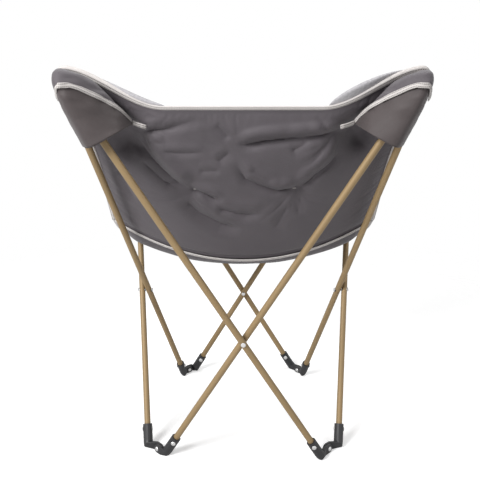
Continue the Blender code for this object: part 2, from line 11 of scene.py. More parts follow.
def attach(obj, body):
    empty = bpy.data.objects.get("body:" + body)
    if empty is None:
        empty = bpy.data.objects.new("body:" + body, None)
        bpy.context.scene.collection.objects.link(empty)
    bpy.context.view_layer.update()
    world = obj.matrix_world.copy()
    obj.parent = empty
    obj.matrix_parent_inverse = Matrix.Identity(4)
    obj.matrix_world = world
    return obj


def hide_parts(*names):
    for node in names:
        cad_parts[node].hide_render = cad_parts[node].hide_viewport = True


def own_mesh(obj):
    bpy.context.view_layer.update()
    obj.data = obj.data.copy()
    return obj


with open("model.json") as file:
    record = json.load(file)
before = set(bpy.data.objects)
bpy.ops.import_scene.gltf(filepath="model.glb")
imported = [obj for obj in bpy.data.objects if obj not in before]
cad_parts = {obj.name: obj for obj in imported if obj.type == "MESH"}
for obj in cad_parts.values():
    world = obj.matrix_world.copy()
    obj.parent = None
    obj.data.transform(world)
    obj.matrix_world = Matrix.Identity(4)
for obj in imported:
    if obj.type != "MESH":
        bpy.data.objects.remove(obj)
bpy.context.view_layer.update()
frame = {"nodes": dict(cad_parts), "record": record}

bl_info = {
    "name": "Folding butterfly chair",
    "version": (1, 0, 0),
    "blender": (4, 5, 0),
    "location": "3D View > Sidebar > Chair",
    "description": "Builds the cover, pockets, tapes, finishes and stage of a folding butterfly chair",
    "category": "Object",
}

# The way the chair faces
FORWARD = Vector((0, 1, 0))

# Points of the cover on the right-hand side, where the frame holds them
BACK_TIP = Vector((0.368, -0.227, 0.890))
BACK_TOP_MIDDLE = Vector((0, -0.239, 0.816))
CREASE_END = Vector((0.318, 0.023, 0.535))
CREASE_MIDDLE = Vector((0, -0.037, 0.449))
SEAT_LOW = Vector((0, 0.123, 0.370))
SEAT_SIDE_LOW = Vector((0.306, 0.118, 0.512))
SEAT_SIDE_RISE = Vector((0.301, 0.203, 0.618))
SEAT_TIP = Vector((0.298, 0.303, 0.745))
SEAT_FRONT_MIDDLE = Vector((0, 0.303, 0.437))
REAR_SIDE_TUBE_END = Vector((-0.3554, -0.2419, 0.8701))
REAR_TUBE_END = Vector((-0.3363, -0.2943, 0.8633))
REAR_CORNER_X = 0.41002
FRONT_CORNER_X = 0.31331

# How the crease climbs to its ends, and how the seat's cloth bags out behind it at the sides
CREASE_CLIMB = 2.0
SEAT_BELLY = 0.034
SEAT_BELLY_SIDE = 0.4
SEAT_BELLY_RAMP = 0.15
SEAT_BELLY_RISE = 0.18
SEAT_BELLY_END = 0.60
SEAT_BELLY_FADE = 0.35

# Where the wings rise out of the far edges, as shares of half the width, and how the back is rounded
BACK_WING_START = 0.42
BACK_WING_RUN = 0.55
SEAT_WING_START = 0.15
SEAT_WING_RUN = 0.80
BACK_WAIST = 0.012
BACK_BULGE = 0.016
TIP_ROUND = 0.022

# Grids of cloth, as columns and rows
BACK_GRID = (200, 120)
SEAT_GRID = (120, 100)
POCKET_GRID = (64, 40)

# Padding, thinner under the bound edges, and how far from them the cloth is free
PAD_EDGE_SHARE = 0.50
PAD_RAMP = 0.035
PAD_LEAST = 0.0028
PAD_LEAST_SHARE = 0.3
BOUND_SHARE = 0.032
BOUND_DEPTH = 0.010
BACK_OPEN_REACH = 0.10
SEAT_OPEN_REACH = 0.12
SMOOTHING_PASSES = 24

# Tacks that sew the back through its padding, at (x, z)
LEFT_TACK = Vector((-0.115, 0.638))
RIGHT_TACK = Vector((0.122, 0.641))
TACK_SPREAD = 0.022
TACK_POINTED = 1.3
TACK_DEPTH = 0.013
TACK_PINCH = 0.45
TACK_PINCH_SPREAD = 0.016
TACK_STITCH_LENGTH = 0.008
TACK_STITCH_WIDTH = 0.0018
TACK_STITCH_SPANS = 8
HALVINGS = 20

# Tapes that bind the edges, the crease and the pockets
TAPE_ROUNDNESS = 0.55
TAPE_INSET_SHARE = 0.30
TAPE_PLAY = 0.0016
MIDDLE_TAPE_SHARE = 0.70
WING_TAPE_SHARE = 1.30
WING_TAPE_START = 0.10
WING_TAPE_RUN = 0.10
SIDE_STATIONS = 60
FAR_STATIONS = 110
EDGE_INSIDE = 0.985
SAME_PLACE = 1e-5
CREASE_TAPE_WIDTH = 0.0095
CREASE_TAPE_THICKNESS = 0.0032
CREASE_TAPE_OUT = 0.0052
CREASE_REACH = 0.985
CREASE_SPANS = 120
CREASE_STEP = 0.03
TRIM_FACING = 0.10
TRIM_WIDTH_SHARE = 0.9
TRIM_THICKNESS = 0.0030
TRIM_LIFT = 0.0016
TRIM_END = 0.98
TRIM_SPANS = 80
REAR_TRIM_START = -0.60

# Loose tail of a rear pocket's tape on the left: across, up and how far it stands off
TAIL_STATIONS = (
    (-0.612, 0.862, 0.0030),
    (-0.585, 0.868, 0.0045),
    (-0.560, 0.874, 0.0055),
    (-0.534, 0.878, 0.0060),
)

# Corner pockets
POCKETS = (("rear", -1, "left"), ("rear", 1, "right"), ("front", -1, "left"), ("front", 1, "right"))
POCKET_WALL = 0.0022
POCKET_CLEAR = 0.0026
SEWN_GAP = 0.0008
POCKET_MAP = (0.30, 0.20)
HEM_DEPTH = 0.06
HEM_TURN = 0.012
HEM_RISE = 0.0009

# Left front pocket from the side edge to the front edge: place on the seat, way out and share of its depth
FRONT_POCKET = (
    ((-0.99, 0.72), Vector((-1, 0, 0)), 0.3),
    ((-0.99, 0.86), Vector((-1, 0.1, 0)), 0.66),
    ((-0.98, 0.985), Vector((-0.8, 0.7, 0)), 1.0),
    ((-0.84, 0.985), Vector((-0.1, 1, 0)), 0.9),
    ((-0.66, 0.985), Vector((0, 1, 0)), 0.3),
)
FRONT_TRIM_OUT = 0.012
FRONT_TRIM_DEPTH = 0.034
FRONT_HEM_OUT = 0.008
FRONT_HEM_DEPTH = 0.118

# Unevenness of slack cloth: coarse and fine heights, waves per metre, and the puffs of the pockets
BACK_RUMPLE = (0.0030, 0.0008)
SEAT_RUMPLE = (0.0045, 0.0010)
POCKET_RUMPLE = (0.0030, 0.0006)
RUMPLE_PITCH = 11.0
FINE_RUMPLE_PITCH = 34.0
FINE_RUMPLE_SHIFT = Vector((7, 3, 5))
REAR_CRINKLE = 0.0180
FRONT_CRINKLE = 0.0035
CRINKLE_PITCH = 12
CRINKLE_PITCH_UP = 46

# Hollows below the rear pockets: place (x, z), depth and half width
BACK_HOLLOWS = (
    ((-0.240, 0.750), 0.044, 0.038),
    ((0.238, 0.757), 0.050, 0.040),
)

# Folds in the back's cloth: points (x, z), depth, half width and how far the left of the path sinks
BACK_FOLDS = (
    (
        ((-0.222, 0.762), (-0.192, 0.716), (-0.168, 0.687), (-0.143, 0.659), (-0.117, 0.640)),
        0.016, 0.012, -0.5,
    ),
    (((-0.216, 0.707), (-0.171, 0.659), (-0.149, 0.645)), 0.007, 0.009, -0.4),
    (((-0.115, 0.638), (-0.094, 0.633), (-0.074, 0.626), (-0.047, 0.611)), 0.008, 0.008, -0.4),
    (((-0.062, 0.597), (-0.014, 0.583), (0.044, 0.580)), 0.008, 0.011, -0.3),
    (((-0.131, 0.618), (-0.098, 0.583), (-0.048, 0.554), (-0.003, 0.541)), 0.013, 0.014, -0.4),
    (
        ((0.120, 0.640), (0.073, 0.638), (0.038, 0.652), (0.006, 0.668), (-0.019, 0.707)),
        0.010, 0.009, 0.5,
    ),
    (((0.126, 0.645), (0.149, 0.675), (0.180, 0.700), (0.200, 0.727)), 0.009, 0.009, -0.4),
    (((0.125, 0.626), (0.120, 0.575)), 0.004, 0.010, 0.0),
    (((0.098, 0.601), (0.070, 0.541)), 0.004, 0.011, 0.0),
    (
        ((-0.015, 0.740), (0.036, 0.751), (0.084, 0.757), (0.160, 0.763), (0.215, 0.776)),
        0.011, 0.008, -0.6,
    ),
    (
        ((-0.219, 0.763), (-0.162, 0.774), (-0.121, 0.786), (-0.087, 0.796), (-0.062, 0.790)),
        0.008, 0.008, -0.4,
    ),
    (((-0.210, 0.757), (-0.163, 0.740)), 0.004, 0.007, -0.3),
    (((-0.054, 0.786), (-0.025, 0.753)), 0.0045, 0.009, -0.3),
    (((-0.055, 0.705), (-0.025, 0.729)), 0.0035, 0.008, -0.3),
    (((-0.169, 0.725), (-0.077, 0.725)), 0.003, 0.006, -0.3),
    (((-0.093, 0.685), (-0.045, 0.685)), 0.003, 0.007, 0.0),
    (((0.096, 0.727), (0.135, 0.748)), 0.004, 0.010, 0.0),
    (((-0.276, 0.682), (-0.260, 0.647), (-0.241, 0.598)), 0.006, 0.012, 0.0),
    (((0.143, 0.803), (0.168, 0.771)), 0.0045, 0.007, 0.0),
    (((0.010, 0.690), (0.040, 0.672), (0.068, 0.659)), 0.0045, 0.007, 0.0),
)

# How a fold is drawn: the gain on its depth, its valley, how it runs out, and the ridge and step beside it
FOLD_GAIN = 1.4
FOLD_POINTED = 1.2
FOLD_REACH = 5
FOLD_START_RUN = 0.2
FOLD_END_RUN = 0.3
FOLD_END_LEAST = 0.1
RIDGE_SHARE = 0.28
RIDGE_AWAY = 2.0
RIDGE_SPREAD = 1.1
STEP_FADE = 4

# Settling of the slack cloth, and how far the sewn points hold it
SETTLE_FRAMES = 18
SETTLE_REACH = 0.006
BOUND_RINGS = 4
TACK_HOLD = 0.012
TAIL_HOLD = 0.045

# Lining that puffs up over the wings' edge: side, where it starts and ends across, how high it rises
WING_ROLLS = (
    ("left", -1, 0.42, 0.80, 0.0060),
    ("right", 1, 0.46, 0.88, 0.0200),
)
ROLL_STATIONS = 60
ROLL_THICKNESS = 0.012
ROLL_WIDTH_SHARE = 1.6
ROLL_LIFT_SHARE = 0.35
ROLL_LEAN = 0.65
ROLL_LEAST = 0.06
ROLL_EDGE = 0.995
ROLL_BELOW = 0.93
ROLL_FACING = 0.96

# Cloth and tape: clumps of fibre to a thread, patches and ribs in millimetres, and the stitches
CLUMPS_PER_THREAD = 0.35
DYE_MM = 111.1
RIB_MM = 1.4
SOIL_MM = 16.67
STITCH_HALF_WIDTH = 0.0008
STITCH_SHARE = 0.7

# Grain of paint, plastic and steel in millimetres
PAINT_CLOUD_MM = 71.43
PAINT_FLAKE_MM = 0.9091
MOULD_GRAIN_MM = 1.111
RUBBED_MM = 22.22
TURNING_MM = 1.4286

# Stage: where the floor fades into the white surround, its glow, and the surround's light
FLOOR_FADE_START = 0.6
FLOOR_GLOW = 0.42
SURROUND_LIGHT = 0.24
LAMP_TARGET = Vector((0, 0, 0.5))

# Camera, from the photograph's view
CAMERA_PLACE = Vector((0, -1.5226, 0.876))
CAMERA_DOWN = math.radians(14.384)
CAMERA_LENS = 48.27
CAMERA_SENSOR = 36.0
IMAGE_SIZE = 480
IMAGE_CENTRE_COLUMN = 243.3


def linear(hex_code):
    """An sRGB hex colour as linear red, green and blue."""
    parts = [int(hex_code[i : i + 2], 16) / 255 for i in (1, 3, 5)]
    return [((c + 0.055) / 1.055) ** 2.4 if c > 0.04045 else c / 12.92 for c in parts]


def size(name, description, default):
    return FloatProperty(
        name=name, description=description, default=default, min=0.0, unit="LENGTH", precision=4
    )


def colour(name, description, hex_code):
    return FloatVectorProperty(
        name=name, description=description, default=linear(hex_code),
        size=3, min=0.0, max=1.0, subtype="COLOR",
    )


def power(name, description, default):
    return FloatProperty(name=name, description=description, default=default, min=0.0, unit="POWER")


class CoverSettings(bpy.types.PropertyGroup):
    """Sizes and colours of the cover."""

    pad_thickness: size("Pad thickness", "Thickness of the padded back and seat", 0.0088)
    tape_width: size("Tape width", "How far the edge tape reaches onto each face", 0.0110)
    tape_cloth: size("Tape cloth", "Thickness of the tape's own cloth", 0.0009)
    outer: colour("Outer cloth", "Woven polyester on the outside", "#544f53")
    # Pocket cloth: the browner hue is the cloth's own, and its darkness below the outer cloth is painted
    # shade for the dimmer light on the pockets
    pocket: colour("Pocket cloth", "Browner polyester of the corner pockets", "#494242")
    lining: colour("Lining", "Mottled cloth on the inside", "#a8a6a9")
    tape: colour("Tape", "Pale tape that binds every edge", "#c6c1be")
    thread: colour("Thread", "Sewing thread of the tapes and tacks", "#645f5d")


class FrameSettings(bpy.types.PropertyGroup):
    """Colours of the frame."""

    paint: colour("Paint", "Satin bronze paint of the tubes", "#927b58")
    plastic: colour("Plastic", "Moulded black plastic of feet, caps and washers", "#222224")
    steel: colour("Steel", "Zinc plated rivets and pins", "#dcdcdc")


class StageSettings(bpy.types.PropertyGroup):
    """Floor and light."""

    floor: colour("Floor", "Pale studio floor", "#f4f4f4")
    floor_reach: size("Floor reach", "Length of each side of the floor", 4.0)
    key_power: power("Key light", "Power of the large soft lamp", 88.0)
    fill_power: power("Fill light", "Power of the second lamp and the top lamp", 16.0)


# Materials

def wire(tree, node, settings, links):
    """Gives a node its settings, by property or input name, and links from (node, output) pairs."""
    for key, value in settings.items():
        if isinstance(key, str) and hasattr(node, key):
            setattr(node, key, value)
        else:
            node.inputs[key].default_value = value
    for key, (source, output) in links.items():
        tree.links.new(source.outputs[output], node.inputs[key])


def add_node(tree, kind, settings=None, links=None):
    """A new node with its settings and links."""
    made = tree.nodes.new(kind)
    wire(tree, made, settings or {}, links or {})
    return made


def new_material(name):
    made = bpy.data.materials.new(name)
    made.use_nodes = True
    tree = made.node_tree
    return made, tree, tree.nodes["Principled BSDF"]


def per_metre(size_mm):
    """How many grains of a size in millimetres lie in a metre."""
    return 1000.0 / size_mm


def rgba(values):
    return (*values, 1.0)


def two_tones(base, dark, light):
    """Settings of a mix between a darker and a lighter share of a colour."""
    return {
        "data_type": "RGBA",
        6: rgba([value * dark for value in base]),
        7: rgba([value * light for value in base]),
    }


def woven_cloth(name, base, thread_mm, sheen, roughness, mottle):
    """Plain woven polyester: matt threads with a soft sheen, a slightly uneven dye and a visible weave.
    The threads are drawn coarser than life, so that the weave shows at the render's size."""
    made, tree, shader = new_material(name)
    on_cloth = {"Vector": (add_node(tree, "ShaderNodeUVMap", {"uv_map": "cloth"}), "UV")}
    threads = per_metre(thread_mm)
    scaled = add_node(tree, "ShaderNodeMapping", {"Scale": (threads, threads, threads)}, on_cloth)
    bands = {"wave_type": "BANDS", "Scale": 1.0, "Distortion": 0.4}
    on_threads = {"Vector": (scaled, "Vector")}
    warp = add_node(tree, "ShaderNodeTexWave", {**bands, "bands_direction": "X"}, on_threads)
    weft = add_node(tree, "ShaderNodeTexWave", {**bands, "bands_direction": "Y"}, on_threads)
    weave = add_node(tree, "ShaderNodeMath", {"operation": "MAXIMUM"}, {0: (warp, "Fac"), 1: (weft, "Fac")})
    clumps = {"Scale": threads * CLUMPS_PER_THREAD, "Detail": 4.0, "Roughness": 0.6}
    fibre = add_node(tree, "ShaderNodeTexNoise", clumps, on_cloth)
    dye = add_node(tree, "ShaderNodeTexNoise", {"Scale": per_metre(DYE_MM), "Detail": 3.0}, on_cloth)
    tones = two_tones(base, 1.0 - mottle, 1.0 + mottle)
    blend = add_node(tree, "ShaderNodeMix", tones, {"Factor": (fibre, "Fac")})
    clouds = {"From Min": 0.3, "From Max": 0.7, "To Min": 0.94, "To Max": 1.06}
    uneven = add_node(tree, "ShaderNodeMapRange", clouds, {"Value": (dye, "Fac")})
    shade = add_node(tree, "ShaderNodeMapRange", {"To Min": 0.93, "To Max": 1.03}, {"Value": (weave, 0)})
    both = add_node(tree, "ShaderNodeMath", {"operation": "MULTIPLY"}, {0: (uneven, 0), 1: (shade, 0)})
    scaling = {"Vector": (blend, 2), "Scale": (both, 0)}
    tint = add_node(tree, "ShaderNodeVectorMath", {"operation": "SCALE"}, scaling)
    bump = add_node(tree, "ShaderNodeBump", {"Strength": 0.22, "Distance": 0.0004}, {"Height": (weave, 0)})
    cloth = {
        "Roughness": roughness,
        "Sheen Weight": sheen,
        "Sheen Roughness": 0.4,
        "Specular IOR Level": 0.35,
    }
    wire(tree, shader, cloth, {"Base Color": (tint, "Vector"), "Normal": (bump, "Normal")})
    return made


def sewn_tape(name, base, thread, row_offset_mm, stitch_mm):
    """Ribbed polyester tape sewn down with rows of lockstitch: pale cross ribs and small dark dashes.
    Ribs and stitches are drawn coarser than life, so that they show at the render's size."""
    made, tree, shader = new_material(name)
    on_tape = {"Vector": (add_node(tree, "ShaderNodeUVMap", {"uv_map": "cloth"}), "UV")}
    split = add_node(tree, "ShaderNodeSeparateXYZ", {}, on_tape)
    turns = {"operation": "MULTIPLY", 1: per_metre(RIB_MM) * 2 * math.pi}
    ribs = add_node(tree, "ShaderNodeMath", turns, {0: (split, "X")})
    rib = add_node(tree, "ShaderNodeMath", {"operation": "SINE"}, {0: (ribs, 0)})
    far = add_node(tree, "ShaderNodeMath", {"operation": "ABSOLUTE"}, {0: (split, "Y")})
    near_row = {"operation": "COMPARE", 1: row_offset_mm * 0.001, 2: STITCH_HALF_WIDTH}
    row = add_node(tree, "ShaderNodeMath", near_row, {0: (far, 0)})
    paces = {"operation": "MULTIPLY", 1: per_metre(stitch_mm)}
    pace = add_node(tree, "ShaderNodeMath", paces, {0: (split, "X")})
    beat = add_node(tree, "ShaderNodeMath", {"operation": "FRACT"}, {0: (pace, 0)})
    dash = add_node(tree, "ShaderNodeMath", {"operation": "LESS_THAN", 1: STITCH_SHARE}, {0: (beat, 0)})
    stitch = add_node(tree, "ShaderNodeMath", {"operation": "MULTIPLY"}, {0: (row, 0), 1: (dash, 0)})
    soil = add_node(tree, "ShaderNodeTexNoise", {"Scale": per_metre(SOIL_MM), "Detail": 3.0}, on_tape)
    cloth = add_node(tree, "ShaderNodeMix", two_tones(base, 0.90, 1.06), {"Factor": (soil, "Fac")})
    sewing = {"Factor": (stitch, 0), 6: (cloth, 2)}
    sewn = add_node(tree, "ShaderNodeMix", {"data_type": "RGBA", 7: rgba(thread)}, sewing)
    sunk = add_node(tree, "ShaderNodeMath", {"operation": "MULTIPLY", 1: -2.0}, {0: (row, 0)})
    relief = add_node(tree, "ShaderNodeMath", {"operation": "ADD"}, {0: (rib, 0), 1: (sunk, 0)})
    bump = add_node(tree, "ShaderNodeBump", {"Strength": 0.25, "Distance": 0.0004}, {"Height": (relief, 0)})
    cloth_feel = {"Roughness": 0.72, "Sheen Weight": 0.15}
    wire(tree, shader, cloth_feel, {"Base Color": (sewn, 2), "Normal": (bump, "Normal")})
    return made


def satin_paint(name, base):
    """Bronze powder coat on steel tube: a satin metal flake with faint cloudiness and orange peel.
    The flake is drawn coarser than life, so that it shows at the render's size."""
    made, tree, shader = new_material(name)
    on_tube = {"Vector": (add_node(tree, "ShaderNodeTexCoord"), "Object")}
    cloud = add_node(tree, "ShaderNodeTexNoise", {"Scale": per_metre(PAINT_CLOUD_MM), "Detail": 4.0}, on_tube)
    flake = add_node(tree, "ShaderNodeTexNoise", {"Scale": per_metre(PAINT_FLAKE_MM), "Detail": 1.0}, on_tube)
    mixed = add_node(tree, "ShaderNodeMix", two_tones(base, 0.90, 1.10), {"Factor": (cloud, "Fac")})
    rough = add_node(tree, "ShaderNodeMapRange", {"To Min": 0.50, "To Max": 0.64}, {"Value": (cloud, "Fac")})
    peel = {"Strength": 0.08, "Distance": 0.0002}
    bump = add_node(tree, "ShaderNodeBump", peel, {"Height": (flake, "Fac")})
    surface = {"Base Color": (mixed, 2), "Roughness": (rough, 0), "Normal": (bump, "Normal")}
    wire(tree, shader, {"Metallic": 0.20}, surface)
    return made


def moulded_plastic(name, base):
    """Injection moulded polypropylene: near black, with the spark grain of its mould and rubbed high spots.
    The grain is drawn coarser than life, so that it shows at the render's size."""
    made, tree, shader = new_material(name)
    on_foot = {"Vector": (add_node(tree, "ShaderNodeTexCoord"), "Object")}
    grain = add_node(tree, "ShaderNodeTexNoise", {"Scale": per_metre(MOULD_GRAIN_MM), "Detail": 2.0}, on_foot)
    rubbed = add_node(tree, "ShaderNodeTexNoise", {"Scale": per_metre(RUBBED_MM), "Detail": 3.0}, on_foot)
    mixed = add_node(tree, "ShaderNodeMix", two_tones(base, 0.85, 1.25), {"Factor": (rubbed, "Fac")})
    wear = {"To Min": 0.42, "To Max": 0.60}
    rough = add_node(tree, "ShaderNodeMapRange", wear, {"Value": (rubbed, "Fac")})
    spark = {"Strength": 0.15, "Distance": 0.0003}
    bump = add_node(tree, "ShaderNodeBump", spark, {"Height": (grain, "Fac")})
    surface = {"Base Color": (mixed, 2), "Roughness": (rough, 0), "Normal": (bump, "Normal")}
    wire(tree, shader, {}, surface)
    return made


def zinc_plate(name, base):
    """Zinc plated steel: bright, with the faint turning marks of a pressed head."""
    made, tree, shader = new_material(name)
    on_head = {"Vector": (add_node(tree, "ShaderNodeTexCoord"), "Object")}
    marks = add_node(tree, "ShaderNodeTexNoise", {"Scale": per_metre(TURNING_MM), "Detail": 2.0}, on_head)
    mixed = add_node(tree, "ShaderNodeMix", two_tones(base, 0.85, 1.0), {"Factor": (marks, "Fac")})
    rough = add_node(tree, "ShaderNodeMapRange", {"To Min": 0.22, "To Max": 0.40}, {"Value": (marks, "Fac")})
    wire(tree, shader, {"Metallic": 1.0}, {"Base Color": (mixed, 2), "Roughness": (rough, 0)})
    return made


def finish_of(name):
    made = bpy.data.materials.get(name)
    if made is None:
        raise RuntimeError("the finish " + name + " has not been made yet")
    return made


# Surfaces of the cover

def smooth(share):
    share = max(0.0, min(1.0, share))
    return share * share * (3 - 2 * share)


def spline(points, share):
    """A smooth curve through the points."""
    spans = len(points) - 1
    k = min(int(share * spans), spans - 1)
    t = share * spans - k
    before, start = points[max(k - 1, 0)], points[k]
    end, after = points[k + 1], points[min(k + 2, spans)]
    turn = (end - before) * t + (before * 2 - start * 5 + end * 4 - after) * t**2
    return start + (turn + (start * 3 - before - end * 3 + after) * t**3) * 0.5


def curve3(start, handle, end, share):
    return start.lerp(handle, share).lerp(handle.lerp(end, share), share)


def rounded(across, along, width, length):
    """Draws the sheet's two far corners in to an arc."""
    aside = TIP_ROUND - (1 - abs(across)) * width
    beyond = TIP_ROUND - (1 - along) * length
    if aside <= 0 or beyond <= 0:
        return across, along
    share = max(aside, beyond) / math.hypot(aside, beyond)
    side = 1 - (TIP_ROUND - aside * share) / width
    return math.copysign(side, across), 1 - (TIP_ROUND - beyond * share) / length


def path_distance(point, path):
    """How far a flat point is from the path, how far to its left, and the share of its length there."""
    best, left, at = 1e9, 0.0, 0.0
    for k in range(len(path) - 1):
        start = Vector(path[k])
        run = Vector(path[k + 1]) - start
        t = max(0.0, min(1.0, (point - start).dot(run) / run.length_squared))
        away = (point - start - run * t).length
        if away < best:
            best, at = away, (k + t) / (len(path) - 1)
            left = run.normalized().cross(point - start)
    return best, left, at


def fold_push(x, z):
    """How far tacks, hollows and folds draw the back's cloth forward, with the soft ridges beside them."""
    point = Vector((x, z))
    push = 0.0
    for tack in (LEFT_TACK, RIGHT_TACK):
        push += TACK_DEPTH * math.exp(-(((point - tack).length / TACK_SPREAD) ** TACK_POINTED))
    for middle, depth, spread in BACK_HOLLOWS:
        push += depth * math.exp(-(((point - Vector(middle)).length / spread) ** 2))
    for path, depth, spread, lean in BACK_FOLDS:
        away, left, at = path_distance(point, path)
        share = away / spread
        if share > FOLD_REACH:
            continue
        ends = smooth(at / FOLD_START_RUN + FOLD_END_LEAST)
        ends *= smooth((1 - at) / FOLD_END_RUN + FOLD_END_LEAST)
        valley = math.exp(-(share**FOLD_POINTED))
        ridge = math.exp(-(((share - RIDGE_AWAY) / RIDGE_SPREAD) ** 2))
        step = lean * left / spread * math.exp(-share * share / STEP_FADE)
        push += FOLD_GAIN * depth * ends * (valley - RIDGE_SHARE * ridge + step)
    return push


def rumple(point, coarse, fine):
    """Small unevenness of slack cloth."""
    small = noise.noise(point * FINE_RUMPLE_PITCH + FINE_RUMPLE_SHIFT)
    return coarse * noise.noise(point * RUMPLE_PITCH) + fine * small


def raised(across, middle, edge, share):
    """A point across the sheet, raised by a share from its middle line to its edge."""
    y = middle.y + (edge.y - middle.y) * share
    z = middle.z + (edge.z - middle.z) * share
    return Vector((edge.x * across, y, z))


def back_point(across, up):
    """The middle of the back's padding, from the crease at up 0 to the top edge at 1."""
    across, up = rounded(across, up, BACK_TIP.x, (BACK_TOP_MIDDLE - CREASE_MIDDLE).length)
    side = abs(across)
    low = side**CREASE_CLIMB
    high = smooth((side - BACK_WING_START) / BACK_WING_RUN)
    share = low + (high - low) * smooth(up)
    middle = CREASE_MIDDLE.lerp(BACK_TOP_MIDDLE, up)
    edge = CREASE_END.lerp(BACK_TIP, up)
    edge.x -= BACK_WAIST * math.sin(math.pi * up)
    point = raised(across, middle, edge, share)
    point.y -= BACK_BULGE * math.sin(math.pi * up) * (1 - side**2)
    return point


def seat_point(across, out):
    """The middle of the seat's padding, from the crease at out 0 to the front edge at 1."""
    across, out = rounded(across, out, SEAT_TIP.x, (SEAT_FRONT_MIDDLE - CREASE_MIDDLE).length)
    side = abs(across)
    low = side**CREASE_CLIMB
    high = smooth((side - SEAT_WING_START) / SEAT_WING_RUN)
    share = low + (high - low) * smooth(out)
    middle = curve3(CREASE_MIDDLE, SEAT_LOW, SEAT_FRONT_MIDDLE, out)
    edge = spline([CREASE_END, SEAT_SIDE_LOW, SEAT_SIDE_RISE, SEAT_TIP], out)
    point = raised(across, middle, edge, share)
    slack = SEAT_BELLY_SIDE + (1 - SEAT_BELLY_SIDE) * smooth((1 - side) / SEAT_BELLY_RAMP)
    begun = smooth(out / SEAT_BELLY_RISE)
    point.z -= SEAT_BELLY * side**2 * slack * begun * smooth((SEAT_BELLY_END - out) / SEAT_BELLY_FADE)
    return point


def surface_normal(place, across, along):
    step = 0.004
    du = place(min(1, across + step), along) - place(max(-1, across - step), along)
    dv = place(across, min(1, along + step)) - place(across, max(0, along - step))
    return du.cross(dv).normalized()


def turned_to(direction, way):
    """The direction or its opposite, whichever points the given way."""
    return direction if direction.dot(way) > 0 else -direction


def open_cloth(across, along, reach):
    """From 0 under the sheet's bound edges to 1 where its cloth is free."""
    inside = min(along, 1 - along) - BOUND_SHARE
    return smooth(inside / reach) * smooth((1 - abs(across) - BOUND_SHARE) / reach)


def back_skin(across, up):
    """The back's outer cloth with its tacks and folds."""
    point = back_point(across, up)
    free = open_cloth(across, up, BACK_OPEN_REACH)
    point.y += free * (fold_push(point.x, point.z) + rumple(point, *BACK_RUMPLE))
    return point


def seat_skin(across, out):
    """The seat's upper cloth, sat in and a little uneven."""
    point = seat_point(across, out)
    point.z += open_cloth(across, out, SEAT_OPEN_REACH) * rumple(point, *SEAT_RUMPLE)
    return point


# Building

def link_object(name, bm, finishes):
    """The finished mesh as an object at the origin, smooth shaded."""
    mesh = bpy.data.meshes.new(name)
    bm.to_mesh(mesh)
    bm.free()
    for finish in finishes:
        mesh.materials.append(finish)
    mesh.shade_smooth()
    made = bpy.data.objects.new(name, mesh)
    bpy.context.scene.collection.objects.link(made)
    return made


def cloth_grid(place, columns, rows, width, length):
    """A grid of cloth laid on place(across, along), with its cut in metres as a UV map."""
    bm = bmesh.new()
    bmesh.ops.create_grid(bm, x_segments=columns, y_segments=rows, size=1.0)
    flat = bm.loops.layers.uv.new("cloth")
    for face in bm.faces:
        for loop in face.loops:
            loop[flat].uv = (loop.vert.co.x * width / 2, (loop.vert.co.y + 1) / 2 * length)
    for vert in bm.verts:
        vert.co = place(vert.co.x, (vert.co.y + 1) / 2)
    bm.normal_update()
    return bm


def settle(bm, growth, weight, sewn):
    """Lets a grid of slack cloth buckle in a short simulation, held at its rim and the sewn points."""
    scene = bpy.context.scene
    mesh = bpy.data.meshes.new("settling")
    bm.to_mesh(mesh)
    trial = bpy.data.objects.new("settling", mesh)
    scene.collection.objects.link(trial)
    bound = {vert for vert in bm.verts if vert.is_boundary}
    for _ in range(BOUND_RINGS):
        bound |= {edge.other_vert(vert) for vert in bound for edge in vert.link_edges}
    held = trial.vertex_groups.new(name="held")
    for k, vert in enumerate(bm.verts):
        hold = 1.0 if vert in bound else 0.0
        for place, reach in sewn:
            hold = max(hold, smooth(2 - 2 * (vert.co - place).length / reach))
        held.add([k], hold, "REPLACE")
    cloth = trial.modifiers.new("cloth", "CLOTH")
    cloth.settings.quality = 6
    cloth.settings.mass = 0.15
    cloth.settings.tension_stiffness = 20.0
    cloth.settings.compression_stiffness = 20.0
    cloth.settings.shear_stiffness = 8.0
    cloth.settings.bending_stiffness = 0.4
    cloth.settings.air_damping = 2.0
    cloth.settings.vertex_group_mass = "held"
    cloth.settings.shrink_min = -growth
    cloth.settings.effector_weights.gravity = weight
    cloth.collision_settings.use_collision = False
    cloth.point_cache.frame_start = 1
    cloth.point_cache.frame_end = SETTLE_FRAMES
    for step in range(1, SETTLE_FRAMES + 1):
        scene.frame_set(step)
    settled = trial.evaluated_get(bpy.context.evaluated_depsgraph_get())
    for vert, moved in zip(bm.verts, settled.data.vertices):
        push = moved.co - vert.co
        vert.co += push / (1 + push.length / SETTLE_REACH)
    bpy.data.objects.remove(trial)
    bpy.data.meshes.remove(mesh)
    scene.frame_set(1)
    bm.normal_update()


